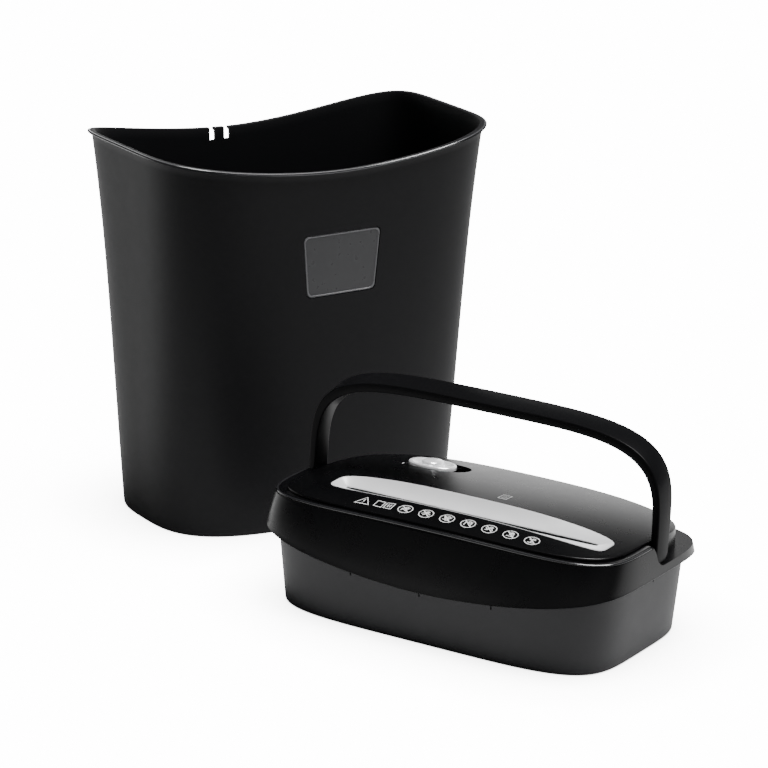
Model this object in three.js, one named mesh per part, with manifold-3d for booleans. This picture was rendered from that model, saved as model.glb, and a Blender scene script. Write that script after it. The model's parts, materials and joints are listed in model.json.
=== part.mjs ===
// Paper shredder: a waste bin with its cutting head standing on the floor in front of it.
// Units are millimetres, +Z up. The origin is the centre of the bin's base, +X runs along
// the bin's long side and -Y is the front. The head has its own frame, +Z up from the floor.
import * as THREE from "three";
import { mergeVertices } from "three/addons/utils/BufferGeometryUtils.js";
import Module from "manifold-3d";

const wasm = await Module();
wasm.setup();

// ---------------------------------------------------------------- driving dimensions
const GAP = 0.3;
const SEG = 40;
const CORNER_BIAS = 0.0875;

// waste bin: super-elliptic in plan, wider at the top, with a rim that dips along its long sides
const BIN = {
  baseA: 138.1, baseB: 85.4, baseN: 3.1,
  rimA: 158.1, rimB: 91.9, rimN: 5.2,
  height: 320.7, dip: 19.5, dipPower: 1.8,
  flare: 5.9, flarePower: 3.8,
  lip: 2.7, lipHeight: 5, wall: 2.2, floor: 2.6,
};
const CLIP = { x: -16.5, tab: 9, notch: 5, depth: 10 };
const WINDOW = { top: 248.9, bottom: 196.1, topHalf: 37, bottomHalf: 32.5, corner: 5, pane: 1.8 };

// head: place on the floor, then sizes in the head's own frame
const HEAD = { x: -15.8, y: -315.7, yaw: THREE.MathUtils.degToRad(-65.5) };
const CASE = {
  baseA: 146.2, baseB: 83.4, topA: 152.4, topB: 86.5, n: 4.7, height: 66, wall: 2.2, floor: 2.4,
};
const SKIRT = { a: 159.4, b: 93.2, n: 4.86, midZ: 44.9, dip: 19.5, dipPower: 1.8, wall: 2.4 };
const RING = { a: 155.9, b: 82.4, n: 4.84, z: 92.8, crown: 4.2 };
const DECK = {
  a: 148.3, b: 76.4, n: 4.78, dome: 7.4, domePower: 3.1, step: 0.8,
  crestY: -29.6, frontPower: 2.15, rearFall: 0.00086, edge: 0.7,
};
const LEDGE_Z = 71.2;
const STEP = { y: -2.6, topY: -6.6, kneeZ: 79, topZ: 90 };

// throat: the paper path, off centre because the gears fill one end
const THROAT = { x: 12.8, y: -35.6, half: 112, width: 6, slotZ: 92.3 };
const BEZEL = { a: 121.7, b: 17, n: 5, sheet: 1.8, rim: 0.4 };

// slide switch
const SWITCH = {
  x: -69, y: 41, z: 94.9, tilt: THREE.MathUtils.degToRad(-6.3),
  halfLength: 20, halfWidth: 13.5, n: 2.3, travel: 12, recess: 1.5,
};

// carrying handle
const HANDLE = {
  x: -0.8, pivotY: 7.3, pivotZ: 81, lean: THREE.MathUtils.degToRad(3.6),
  outerA: 157.2, outerH: 86.7, n: 4.4, rise: 0.8, stations: 33,
  legThick: 6.1, topThick: 7.1, legWidth: 18.4, topWidth: 19, flare: 5.8,
};
const PIN = { r: 2.6, headR: 5 };

// cutting block
const ROLLER_SPAN = 28.5;
const FRONT_SHAFT = { y: THROAT.y - ROLLER_SPAN / 2, z: 38 };
const REAR_SHAFT = { y: THROAT.y + ROLLER_SPAN / 2, z: 38 };
const SHAFT_R = 4;
const DISC = { count: 14, pitch: 16, width: 6.4, r: 16, hubR: 10, firstX: -99 };
const PLATE = { leftX: -104, rightX: 128, thick: 2 };
const BUSH = { r: 7, length: 5.4 };
const MOTOR = { y: 38, z: 34, r: 23.5, x0: -96, x1: -14, bossR: 7 };

// gear train: module and teeth, motor pinion to intermediate gear to the rear cutter shaft
const PINION = { module: 1, teeth: 11 };
const WHEEL = { module: 1, teeth: 55 };
const SMALL = { module: 1.5, teeth: 12 };
const DRIVE = { module: 1.5, teeth: 32 };
const SYNC = { module: ROLLER_SPAN / 20, teeth: 20 };

// ---------------------------------------------------------------- materials
const material = (color, roughness, metalness = 0) =>
  new THREE.MeshStandardMaterial({ color, roughness, metalness });
const M = {
  bin: material(0x3a3a3d, 0.55),
  pane: material(0x55555a, 0.25),
  casing: material(0x3b3b3f, 0.6),
  cover: material(0x16161a, 0.3),
  silver: material(0xc9cacc, 0.3, 0.7),
  handle: material(0x26262a, 0.4),
  steel: material(0x9a9da1, 0.35, 1),
  nylon: material(0xe6e2d3, 0.5),
  black: material(0x1c1c1c, 0.6),
  board: material(0x1f5a35, 0.5),
  copper: material(0x8a4b25, 0.5),
};

// ---------------------------------------------------------------- solids
function toManifold(geometry) {
  const plain = geometry.clone();
  plain.deleteAttribute("normal");
  plain.deleteAttribute("uv");
  const merged = mergeVertices(plain, 1e-4);
  const vertProperties = new Float32Array(merged.attributes.position.array);
  const triVerts = new Uint32Array(merged.index.array);
  return new wasm.Manifold(new wasm.Mesh({ numProp: 3, vertProperties, triVerts }));
}

function toGeometry(solid) {
  const mesh = solid.getMesh();
  const geometry = new THREE.BufferGeometry();
  geometry.setAttribute("position", new THREE.BufferAttribute(mesh.vertProperties, 3));
  geometry.setIndex(new THREE.BufferAttribute(mesh.triVerts, 1));
  return geometry;
}

// joins the first list of geometries and cuts the second list out of it
function carve(joined, cut = []) {
  let solid = toManifold(joined[0]);
  for (const geometry of joined.slice(1)) solid = solid.add(toManifold(geometry));
  for (const geometry of cut) solid = solid.subtract(toManifold(geometry));
  return toGeometry(solid);
}

// point of a unit super-ellipse; steps of t land closer together near its four corners
function unitPoint(t, n) {
  const turn = t + CORNER_BIAS * Math.sin(4 * t);
  const c = Math.cos(turn);
  const s = Math.sin(turn);
  const r = (Math.abs(c) ** n + Math.abs(s) ** n) ** (-1 / n);
  return [r * c, r * s];
}

// a whole unit super-ellipse as a list of [x, y], anticlockwise
function unitOutline(n, count = SEG) {
  return Array.from({ length: count }, (_, i) => unitPoint((2 * Math.PI * i) / count, n));
}

// closed skin over a stack of equal rings; ends are closed by fans, or joined when looped
function loft(rings, looped = false) {
  const count = rings[0].length;
  const positions = rings.flat().flatMap((p) => [p.x, p.y, p.z]);
  const index = [];
  const last = looped ? rings.length : rings.length - 1;
  for (let k = 0; k < last; k += 1) {
    const low = k * count;
    const high = ((k + 1) % rings.length) * count;
    for (let i = 0; i < count; i += 1) {
      const j = (i + 1) % count;
      index.push(low + i, low + j, high + j, low + i, high + j, high + i);
    }
  }
  if (!looped) {
    for (const [k, up] of [[0, false], [rings.length - 1, true]]) {
      const centre = new THREE.Vector3();
      for (const p of rings[k]) centre.addScaledVector(p, 1 / count);
      const hub = positions.length / 3;
      positions.push(centre.x, centre.y, centre.z);
      for (let i = 0; i < count; i += 1) {
        const a = k * count + i;
        const b = k * count + ((i + 1) % count);
        if (up) index.push(a, b, hub);
        else index.push(b, a, hub);
      }
    }
  }
  const geometry = new THREE.BufferGeometry();
  geometry.setAttribute("position", new THREE.Float32BufferAttribute(positions, 3));
  geometry.setIndex(index);
  return geometry;
}

const ring = (outline, place) => outline.map(([x, y]) => place(x, y));

function box(x0, x1, y0, y1, z0, z1) {
  const geometry = new THREE.BoxGeometry(x1 - x0, y1 - y0, z1 - z0);
  return geometry.translate((x0 + x1) / 2, (y0 + y1) / 2, (z0 + z1) / 2);
}

// cylinder along X, Y or Z between two places on that axis
function rod(axis, r, from, to, u, v, sides = 16) {
  const geometry = new THREE.CylinderGeometry(r, r, to - from, sides);
  const middle = (from + to) / 2;
  if (axis === "x") return geometry.rotateZ(Math.PI / 2).translate(middle, u, v);
  if (axis === "y") return geometry.translate(u, middle, v);
  return geometry.rotateX(Math.PI / 2).translate(u, v, middle);
}

// flat outline in head Y and Z, extruded along X
function sheetYZ(points, holes, x0, x1) {
  const shape = new THREE.Shape(points.map(([y, z]) => new THREE.Vector2(y, z)));
  for (const [y, z, r, sides] of holes) {
    const hole = new THREE.Path();
    for (let i = 0; i < sides; i += 1) {
      const t = (-2 * Math.PI * i) / sides;
      const x = y + r * Math.cos(t);
      const h = z + r * Math.sin(t);
      if (i === 0) hole.moveTo(x, h);
      else hole.lineTo(x, h);
    }
    hole.closePath();
    shape.holes.push(hole);
  }
  const geometry = new THREE.ExtrudeGeometry(shape, { depth: x1 - x0, bevelEnabled: false });
  const frame = new THREE.Matrix4().makeBasis(
    new THREE.Vector3(0, 1, 0), new THREE.Vector3(0, 0, 1), new THREE.Vector3(1, 0, 0));
  return geometry.applyMatrix4(frame).translate(x0, 0, 0);
}

// ring turned about the X axis from [x, radius] points given as a closed outline
function turned(outline, y, z, sides) {
  const points = outline.map(([x, r]) => new THREE.Vector2(r, x));
  points.push(points[0].clone());
  const geometry = new THREE.LatheGeometry(points, sides);
  return geometry.rotateZ(-Math.PI / 2).translate(0, y, z);
}

// spur gear along X: straight flanked teeth, turned by phase, with an optional bore
function gear({ module, teeth }, y, z, x0, x1, phase, bore) {
  const r = (module * teeth) / 2;
  const root = r - 1.1 * module;
  const tip = r + 0.72 * module;
  const step = (2 * Math.PI) / teeth;
  const halfRoot = (0.36 * Math.PI * module) / root;
  const halfTip = (0.1 * Math.PI * module) / tip;
  const points = [];
  for (let i = 0; i < teeth; i += 1) {
    const middle = phase + i * step;
    const corners = [[root, -halfRoot], [tip, -halfTip], [tip, halfTip], [root, halfRoot]];
    for (const [radius, turn] of corners) {
      points.push([y + radius * Math.cos(middle + turn), z + radius * Math.sin(middle + turn)]);
    }
  }
  const holes = bore ? [[y, z, bore, 12]] : [];
  return sheetYZ(points, holes, x0, x1);
}

// ---------------------------------------------------------------- waste bin
function binPlace(level, grow, drop = 0) {
  return (ux, uy, n) => {
    const reach = Math.abs(ux) ** BIN.dipPower;
    const rim = BIN.height - BIN.dip * (1 - reach);
    const z = level * rim - drop;
    const s = Math.max(z, 0) / BIN.height;
    const swell = BIN.flare * s ** BIN.flarePower - BIN.flare * s;
    const a = BIN.baseA + (BIN.rimA - BIN.lip - BIN.baseA) * s + swell + grow;
    const b = BIN.baseB + (BIN.rimB - BIN.lip - BIN.baseB) * s + swell + grow;
    return new THREE.Vector3(a * ux, b * uy, z);
  };
}

function binRing(level, grow, drop = 0) {
  const n = BIN.baseN + (BIN.rimN - BIN.baseN) * level;
  return ring(unitOutline(n), binPlace(level, grow, drop));
}

function windowOutline(shrink) {
  const { topHalf, bottomHalf, top, bottom, corner } = WINDOW;
  const t = topHalf - shrink;
  const b = bottomHalf - shrink;
  const z0 = bottom + shrink;
  const z1 = top - shrink;
  const shape = new THREE.Shape();
  shape.moveTo(-b + corner, z0);
  shape.lineTo(b - corner, z0);
  shape.quadraticCurveTo(b, z0, b + 0.4, z0 + corner);
  shape.lineTo(t - 0.4, z1 - corner);
  shape.quadraticCurveTo(t, z1, t - corner, z1);
  shape.lineTo(-t + corner, z1);
  shape.quadraticCurveTo(-t, z1, -t + 0.4, z1 - corner);
  shape.lineTo(-b - 0.4, z0 + corner);
  shape.quadraticCurveTo(-b, z0, -b + corner, z0);
  return shape;
}

// an XZ outline extruded along Y from y0 to y1
function slabXZ(shape, y0, y1) {
  const options = { depth: y1 - y0, bevelEnabled: false, curveSegments: 4 };
  const geometry = new THREE.ExtrudeGeometry(shape, options);
  return geometry.rotateX(Math.PI / 2).translate(0, y1, 0);
}

function makeBin() {
  const levels = [0, 0.3, 0.55, 0.75, 0.88];
  const rings = levels.map((level) => binRing(level, 0));
  rings.push(binRing(1, 0, BIN.lipHeight));
  rings.push(binRing(1, BIN.lip, BIN.lipHeight - 1.2));
  rings.push(binRing(1, BIN.lip));
  rings.push(binRing(1, -BIN.wall));
  for (const level of levels.slice(1).reverse()) rings.push(binRing(level, -BIN.wall));
  const floorRing = ring(unitOutline(BIN.baseN), (x, y) => {
    const a = BIN.baseA - BIN.wall;
    const b = BIN.baseB - BIN.wall;
    return new THREE.Vector3(a * x, b * y, BIN.floor);
  });
  rings.push(floorRing);
  const cuts = [slabXZ(windowOutline(0), -BIN.rimB - 5, -BIN.rimB + 20)];
  for (const side of [-1, 1]) {
    const inner = CLIP.x + side * (CLIP.tab / 2);
    const outer = inner + side * CLIP.notch;
    const low = BIN.height - BIN.dip - CLIP.depth;
    const [x0, x1] = [Math.min(inner, outer), Math.max(inner, outer)];
    cuts.push(box(x0, x1, BIN.rimB - 12, BIN.rimB + 5, low, BIN.height));
  }
  return carve([loft(rings)], cuts);
}

function makePane() {
  const middleZ = (WINDOW.top + WINDOW.bottom) / 2;
  const wallY = -binPlace(middleZ / (BIN.height - BIN.dip), 0)(0, 1).y;
  return slabXZ(windowOutline(GAP), wallY + 0.1, wallY + 0.1 + WINDOW.pane);
}

// ---------------------------------------------------------------- head shells
const lowEdge = (ux) => SKIRT.midZ + SKIRT.dip * Math.abs(ux) ** SKIRT.dipPower;
const ringTop = (x) => RING.z - RING.crown * (x / RING.a) ** 2;

// height of the domed deck at a place in the head frame
function deckTop(x, y) {
  const across = 1 - Math.min(Math.abs(x) / DECK.a, 1) ** DECK.domePower;
  const ahead = Math.max(DECK.crestY - y, 0) / (DECK.b + DECK.crestY);
  const behind = Math.max(y - DECK.crestY, 0);
  const rise = DECK.dome * across * (1 - ahead ** DECK.frontPower);
  return ringTop(x) + DECK.step + rise - DECK.rearFall * behind ** 2;
}

// skirt section: upright at its lower edge and leaning in towards the ring
function skirtRing(t, inset, lift = 0) {
  const bow = 0.7 * t + 0.3 * t * t;
  const n = SKIRT.n + (RING.n - SKIRT.n) * t;
  return ring(unitOutline(n), (ux, uy) => {
    const a = SKIRT.a + (RING.a - SKIRT.a) * bow - inset;
    const b = SKIRT.b + (RING.b - SKIRT.b) * bow - inset;
    const x = a * ux;
    const low = lowEdge(ux);
    const z = low + (ringTop(x) - low) * t + lift;
    return new THREE.Vector3(x, b * uy, z);
  });
}

function skirtSolid(inset, drop) {
  const rings = [skirtRing(0, inset, -drop)];
  for (const t of [0, 0.25, 0.5, 0.75, 1]) rings.push(skirtRing(t, inset, t === 1 ? -inset : 0));
  return loft(drop > 0 ? rings : rings.slice(1));
}

// column under the deck, from baseZ up to the domed top
function deckSolid(inset, baseZ) {
  const outline = unitOutline(DECK.n);
  const a = DECK.a - inset;
  const b = DECK.b - inset;
  const rings = [ring(outline, (ux, uy) => new THREE.Vector3(a * ux, b * uy, baseZ))];
  for (const r of [1, 0.97, 0.85, 0.65, 0.42, 0.2]) {
    const edge = r === 1 ? DECK.edge : 0;
    rings.push(ring(outline, (ux, uy) => {
      const x = a * ux * r;
      const y = b * uy * r;
      return new THREE.Vector3(x, y, deckTop(x, y) - inset - edge);
    }));
  }
  return loft(rings);
}

// everything behind the handle step and above the ledge, across the whole head
function rearSpace(grow) {
  const far = 140;
  const wide = 200;
  const front = STEP.y - grow;
  const topFront = STEP.topY - grow;
  const points = [
    [front, LEDGE_Z - grow], [far, LEDGE_Z - grow], [far, far], [topFront, far],
    [topFront, STEP.topZ], [front, STEP.kneeZ],
  ];
  return sheetYZ(points, [], -wide, wide);
}

function ovalPrism(a, b, n, x, y, z0, z1, count = SEG) {
  const outline = unitOutline(n, count);
  const at = (z) => ring(outline, (ux, uy) => new THREE.Vector3(x + a * ux, y + b * uy, z));
  return loft([at(z0), at(z1)]);
}

function switchFrame(geometry) {
  return geometry.rotateX(SWITCH.tilt).translate(SWITCH.x, SWITCH.y, SWITCH.z);
}

// casing screws: a post in the casing meets a boss in the cover where they split
const SCREWS = [[-135, 51], [135, 51], [-137, -49], [137, -49]];
const SCREW = { split: 30, tip: 42, bossR: 4.2, postR: 6, holeR: 2.1, counterbore: 3.4 };

function makeCover() {
  const wall = SKIRT.wall;
  const outer = carve([carve([skirtSolid(0, 0)], [rearSpace(0)]), deckSolid(0, LEDGE_Z - wall)]);
  const hollow = carve([skirtSolid(wall, 6)], [rearSpace(wall)]);
  const inner = carve([hollow, deckSolid(wall, LEDGE_Z - wall - 4)]);
  const shell = carve([outer], [inner]);
  // each screw boss hangs from the deck and stops on top of the casing's post
  const bossTop = (x, y) => deckTop(x, y) - 1.2;
  const bosses = SCREWS.map(([x, y]) => rod("z", SCREW.bossR, SCREW.split + 1, bossTop(x, y), x, y, 12));
  const holes = SCREWS.map(([x, y]) => rod("z", SCREW.holeR, SCREW.split, SCREW.tip + 3, x, y, 12));
  const recess = ovalPrism(
    SWITCH.halfLength + SWITCH.travel / 2 + 2, SWITCH.halfWidth + 1.5, SWITCH.n,
    SWITCH.travel / 2, 0, -SWITCH.recess, 20);
  const cuts = [
    ovalPrism(BEZEL.a + GAP, BEZEL.b + GAP, BEZEL.n, THROAT.x, THROAT.y, 60, 130),
    switchFrame(recess),
    switchFrame(box(-4, 4 + SWITCH.travel, -3, 3, -20, 5)),
    rod("x", PIN.r + GAP, -160, 160, HANDLE.pivotY, HANDLE.pivotZ, 12),
  ];
  return carve([shell, ...bosses], [...holes, ...cuts]);
}

function caseRing(z, inset) {
  const s = z / CASE.height;
  return ring(unitOutline(CASE.n), (ux, uy) => {
    const a = CASE.baseA + (CASE.topA - CASE.baseA) * s - inset;
    const b = CASE.baseB + (CASE.topB - CASE.baseB) * s - inset;
    return new THREE.Vector3(a * ux, b * uy, z);
  });
}

const EXIT = { x0: -100, x1: 125, y0: THROAT.y - 29, y1: THROAT.y + 29 };
const GLAND = { x: 60, z: 26, r: 7 };
const BOARD = { x0: 30, x1: 112, y0: 20, y1: 62, z: 9.2, thick: 1.6 };
const INTERLOCK = { x: CLIP.x, z0: 42, travel: 4 };

function makeCasing() {
  const shell = [
    caseRing(0, 0.8), caseRing(0.8, 0), caseRing(CASE.height, 0),
    caseRing(CASE.height, CASE.wall), caseRing(CASE.floor, CASE.wall),
  ];
  const joined = [loft(shell)];
  const cut = [box(EXIT.x0, EXIT.x1, EXIT.y0, EXIT.y1, -5, 5)];
  for (const [x, y] of SCREWS) {
    joined.push(rod("z", SCREW.postR, CASE.floor - 1, SCREW.split, x, y, 12));
    cut.push(rod("z", 4.2, -1, SCREW.counterbore, x, y, 12));
    cut.push(rod("z", SCREW.holeR, 2, SCREW.split + 1, x, y, 12));
  }
  for (const x of [BOARD.x0 + 6, BOARD.x1 - 6]) {
    for (const y of [BOARD.y0 + 6, BOARD.y1 - 6]) {
      joined.push(rod("z", 3, CASE.floor - 1, BOARD.z - GAP, x, y, 8));
    }
  }
  cut.push(rod("y", GLAND.r + GAP, 70, 95, GLAND.x, GLAND.z, 20));
  cut.push(box(INTERLOCK.x - 4.4, INTERLOCK.x + 4.4, 70, 95, INTERLOCK.z0 - 0.4, INTERLOCK.z0 + 7.6));
  return carve(joined, cut);
}

// ---------------------------------------------------------------- throat
function bezelRing(r, z) {
  return ring(unitOutline(BEZEL.n), (ux, uy) => {
    const a = THROAT.half + (BEZEL.a - THROAT.half) * r;
    const b = THROAT.width / 2 + (BEZEL.b - THROAT.width / 2) * r;
    const x = THROAT.x + a * ux;
    const y = THROAT.y + b * uy;
    const rimZ = deckTop(x, y) + BEZEL.rim;
    const bowl = THROAT.slotZ + (rimZ - THROAT.slotZ) * r ** 1.4;
    return new THREE.Vector3(x, y, bowl + z);
  });
}

function makeBezel() {
  const spread = [1, 0.8, 0.45, 0];
  const top = spread.map((r) => bezelRing(r, 0));
  const under = [...spread].reverse().map((r) => bezelRing(r, -BEZEL.sheet));
  return loft([...top, ...under], true);
}

function makeGuide(side) {
  const top = side * 5.2;
  const low = side * 3.4;
  const points = [[low, 52], [low + side * 1.6, 52], [top + side * 1.6, 86], [top, 86]];
  const path = points.map(([y, z]) => [THROAT.y + y, z]);
  if (side < 0) path.reverse();
  const blade = sheetYZ(path, [], PLATE.leftX + PLATE.thick + 0.6, PLATE.rightX - 0.6);
  return carve([blade], [box(THROAT.x - 3, THROAT.x + 3, THROAT.y - 15, THROAT.y + 15, 58, 76)]);
}

// ---------------------------------------------------------------- switch
function makeKnob() {
  const { halfLength, halfWidth, n, recess } = SWITCH;
  const plate = ovalPrism(halfLength, halfWidth, n, 0, 0, -recess + GAP, 1.6);
  const crown = ovalPrism(halfLength - 2, halfWidth - 2, n, 0, 0, 1, 2.6);
  const grip = ovalPrism(7.5, 9.5, n, 0, 0, 2, 4.4);
  const stem = box(-3, 3, -2.4, 2.4, -11, 0);
  return switchFrame(carve([plate, crown, grip, stem]));
}

function makeSwitchBody() {
  const body = box(-12, 12 + SWITCH.travel, -7, 7, -22, -6);
  const groove = box(-4, 4 + SWITCH.travel, -3.2, 3.2, -13, 0);
  return switchFrame(carve([body], [groove]));
}

// ---------------------------------------------------------------- handle
// four-cornered sections from foot to foot; across the top the rear edge grows thicker by the flare
function handleSections() {
  const rings = [];
  for (let i = 0; i < HANDLE.stations; i += 1) {
    const [ux, uz] = unitPoint((Math.PI * i) / (HANDLE.stations - 1), HANDLE.n);
    const half = (HANDLE.legWidth + (HANDLE.topWidth - HANDLE.legWidth) * uz) / 2;
    const inner = new THREE.Vector2(
      HANDLE.x + (HANDLE.outerA - HANDLE.legThick) * ux,
      HANDLE.rise + (HANDLE.outerH - HANDLE.topThick) * uz);
    const outer = new THREE.Vector2(HANDLE.x + HANDLE.outerA * ux, HANDLE.rise + HANDLE.outerH * uz);
    const outward = outer.clone().sub(inner).normalize();
    const rear = outer.clone().addScaledVector(outward, HANDLE.flare * uz ** 2);
    rings.push([
      new THREE.Vector3(inner.x, -half, inner.y), new THREE.Vector3(outer.x, -half, outer.y),
      new THREE.Vector3(rear.x, half, rear.y), new THREE.Vector3(inner.x, half, inner.y),
    ]);
  }
  return rings;
}

function makeHandle() {
  const joined = [loft(handleSections())];
  const cut = [];
  for (const side of [-1, 1]) {
    const inner = HANDLE.x + side * (HANDLE.outerA - HANDLE.legThick);
    const outer = HANDLE.x + side * HANDLE.outerA;
    const [x0, x1] = [Math.min(inner, outer), Math.max(inner, outer)];
    joined.push(rod("x", HANDLE.legWidth / 2, x0, x1, 0, 0, 24));
    joined.push(box(x0, x1, -HANDLE.legWidth / 2, HANDLE.legWidth / 2, 0, HANDLE.rise + 1));
    // blind hole for the pin, open towards the cover's end wall
    const bottom = HANDLE.x + side * (HANDLE.outerA - 2);
    const mouth = inner - side * 5;
    cut.push(rod("x", PIN.r + GAP, Math.min(bottom, mouth), Math.max(bottom, mouth), 0, 0, 12));
  }
  const geometry = carve(joined, cut);
  return geometry.rotateX(-HANDLE.lean).translate(0, HANDLE.pivotY, HANDLE.pivotZ);
}

function makeHandlePin(side) {
  const tip = HANDLE.outerA + side * HANDLE.x - 2.4;
  const shank = rod("x", PIN.r, 143, tip, HANDLE.pivotY, HANDLE.pivotZ, 12);
  const flange = rod("x", PIN.headR, 141, 144.5, HANDLE.pivotY, HANDLE.pivotZ, 12);
  const geometry = carve([shank, flange]);
  return side > 0 ? geometry : geometry.rotateZ(Math.PI).translate(0, 2 * HANDLE.pivotY, 0);
}

// ---------------------------------------------------------------- cutting block
function makeCutters(shaft, offset) {
  const outline = [];
  const { count, pitch, width, r, hubR, firstX } = DISC;
  const bore = SHAFT_R + 2 * GAP;
  const start = firstX + offset;
  outline.push([start, bore]);
  for (let i = 0; i < count; i += 1) {
    const x0 = start + i * pitch;
    const x1 = x0 + width;
    if (i > 0) outline.push([x0, hubR]);
    outline.push([x0, r], [x1, r]);
    if (i < count - 1) outline.push([x1, hubR]);
  }
  outline.push([start + (count - 1) * pitch + width, bore]);
  return turned(outline, shaft.y, shaft.z, 9);
}

// stripper comb: a spine with one finger in each space between the discs
function makeComb(shaft, offset, side) {
  const spine = shaft.y + side * (DISC.r + 1);
  const back = spine + side * 2.4;
  const tip = shaft.y + side * (DISC.hubR + 0.8);
  const finger = (DISC.pitch - DISC.width) / 2 - 1.1;
  const shape = new THREE.Shape();
  const startX = PLATE.leftX + PLATE.thick + 0.6;
  const endX = PLATE.rightX - 0.6;
  shape.moveTo(startX, back);
  shape.lineTo(startX, spine);
  for (let i = 0; i < DISC.count - 1; i += 1) {
    const middle = DISC.firstX + offset + (i + 0.5) * DISC.pitch + DISC.width / 2;
    shape.lineTo(middle - finger, spine);
    shape.lineTo(middle - finger, tip);
    shape.lineTo(middle + finger, tip);
    shape.lineTo(middle + finger, spine);
  }
  shape.lineTo(endX, spine);
  shape.lineTo(endX, back);
  return new THREE.ExtrudeGeometry(shape, { depth: 2.4, bevelEnabled: false }).translate(0, 0, 36.8);
}

const TIE_RODS = [[-61, 57], [-4.5, 57], [-61, 11.5], [-4.5, 11.5]];
const WHEEL_PLACE = intermediatePlace();

// where a wheel sits that meshes with both the motor pinion and the drive gear
function intermediatePlace() {
  const toMotor = (PINION.module * PINION.teeth + WHEEL.module * WHEEL.teeth) / 2;
  const toDrive = (SMALL.module * SMALL.teeth + DRIVE.module * DRIVE.teeth) / 2;
  const dy = MOTOR.y - REAR_SHAFT.y;
  const dz = MOTOR.z - REAR_SHAFT.z;
  const span = Math.hypot(dy, dz);
  const along = (toDrive ** 2 - toMotor ** 2 + span ** 2) / (2 * span);
  const off = Math.sqrt(toDrive ** 2 - along ** 2);
  return {
    y: REAR_SHAFT.y + (dy / span) * along - (dz / span) * off,
    z: REAR_SHAFT.z + (dz / span) * along + (dy / span) * off,
  };
}

function makePlate(x, front, back) {
  const [foot, shoulder, top] = [5, 60, 66];
  const outline = [
    [front, foot], [back, foot], [back, shoulder], [6, shoulder], [0, top], [-62, top], [front, shoulder],
  ];
  const holes = [FRONT_SHAFT, REAR_SHAFT].map(({ y, z }) => [y, z, BUSH.r + GAP, 16]);
  for (const [y, z] of TIE_RODS) holes.push([y, z, 1.8, 8]);
  if (x < 0) {
    holes.push([MOTOR.y, MOTOR.z, MOTOR.bossR + GAP, 16]);
    holes.push([WHEEL_PLACE.y, WHEEL_PLACE.z, 2.8, 10]);
  }
  return sheetYZ(outline, holes, x, x + PLATE.thick);
}

function makeTieRod([y, z]) {
  const inner = rod("x", 3, PLATE.leftX + PLATE.thick + GAP, PLATE.rightX - GAP, y, z, 8);
  const stub = rod("x", 1.5, PLATE.leftX - 2, PLATE.rightX + PLATE.thick + 2, y, z, 6);
  return carve([inner, stub]);
}

function makeBush(shaft, x) {
  const x0 = x + PLATE.thick / 2 - BUSH.length / 2;
  const x1 = x0 + BUSH.length;
  const bore = SHAFT_R + 0.1;
  return turned([[x0, bore], [x1, bore], [x1, BUSH.r], [x0, BUSH.r]].reverse(), shaft.y, shaft.z, 16);
}

// ---------------------------------------------------------------- drive
const angleTo = (from, to) => Math.atan2(to.z - from.z, to.y - from.y);

// phases that put a tooth of one gear into a space of the other at the start
const SMALL_PHASE = angleTo(WHEEL_PLACE, REAR_SHAFT);
const DRIVE_PHASE = angleTo(REAR_SHAFT, WHEEL_PLACE) + Math.PI / DRIVE.teeth;
const WHEEL_PHASE = angleTo(WHEEL_PLACE, MOTOR);
const PINION_PHASE = angleTo(MOTOR, WHEEL_PLACE) + Math.PI / PINION.teeth;

function makeIntermediate() {
  const { y, z } = WHEEL_PLACE;
  const wheel = gear(WHEEL, y, z, -135, -129, WHEEL_PHASE, 0);
  const small = gear(SMALL, y, z, -130, -117.5, SMALL_PHASE, 0);
  const hub = rod("x", 7, -117.6, -108, y, z, 16);
  return carve([wheel, small, hub], [rod("x", 2.8, -150, -90, y, z, 12)]);
}

function makePinion() {
  const shaft = rod("x", 2, -138, PLATE.leftX - 1 - GAP, MOTOR.y, MOTOR.z, 12);
  return carve([gear(PINION, MOTOR.y, MOTOR.z, -135.2, -128.8, PINION_PHASE, 0), shaft]);
}

function makeMotor() {
  const can = rod("x", MOTOR.r, MOTOR.x0, MOTOR.x1, MOTOR.y, MOTOR.z, 24);
  const boss = rod("x", MOTOR.bossR, PLATE.leftX - 1, MOTOR.x0 + 1, MOTOR.y, MOTOR.z, 16);
  const cap = rod("x", 9, MOTOR.x1 - 1, MOTOR.x1 + 3, MOTOR.y, MOTOR.z, 16);
  return carve([can, boss, cap]);
}

function makeFan() {
  const x0 = MOTOR.x1 + 4;
  const parts = [rod("x", 6, x0, x0 + 8, MOTOR.y, MOTOR.z, 12)];
  for (let i = 0; i < 6; i += 1) {
    const blade = box(x0 + 1, x0 + 7, -1, 1, 4, 19).rotateX((i * Math.PI) / 3);
    parts.push(blade.translate(0, MOTOR.y, MOTOR.z));
  }
  return carve(parts);
}

const STANDOFFS = [[42, 61], [-28, 65]];

function makeGearPlate() {
  const outline = [
    [-34, 30], [38, 24], [44, 28], [46, 34], [46, 63], [42, 66], [-30, 71], [-34, 66],
  ];
  const holes = [
    [MOTOR.y, MOTOR.z, 2.4, 10], [WHEEL_PLACE.y, WHEEL_PLACE.z, 2.8, 10],
    [REAR_SHAFT.y, REAR_SHAFT.z, SHAFT_R + 0.3, 12],
  ];
  return sheetYZ(outline, holes, -138.6, -136.8);
}

function makeScrew([x, y]) {
  const cap = rod("z", 3.6, 0.9, 3, x, y, 10);
  const shank = rod("z", 1.7, 2.5, SCREW.tip, x, y, 8);
  const socket = rod("z", 1.5, 0, 2, x, y, 6);
  return carve([cap, shank], [socket]);
}

// ---------------------------------------------------------------- sensing
const LEVER = { y: THROAT.y + 11, z: 69 };

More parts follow.
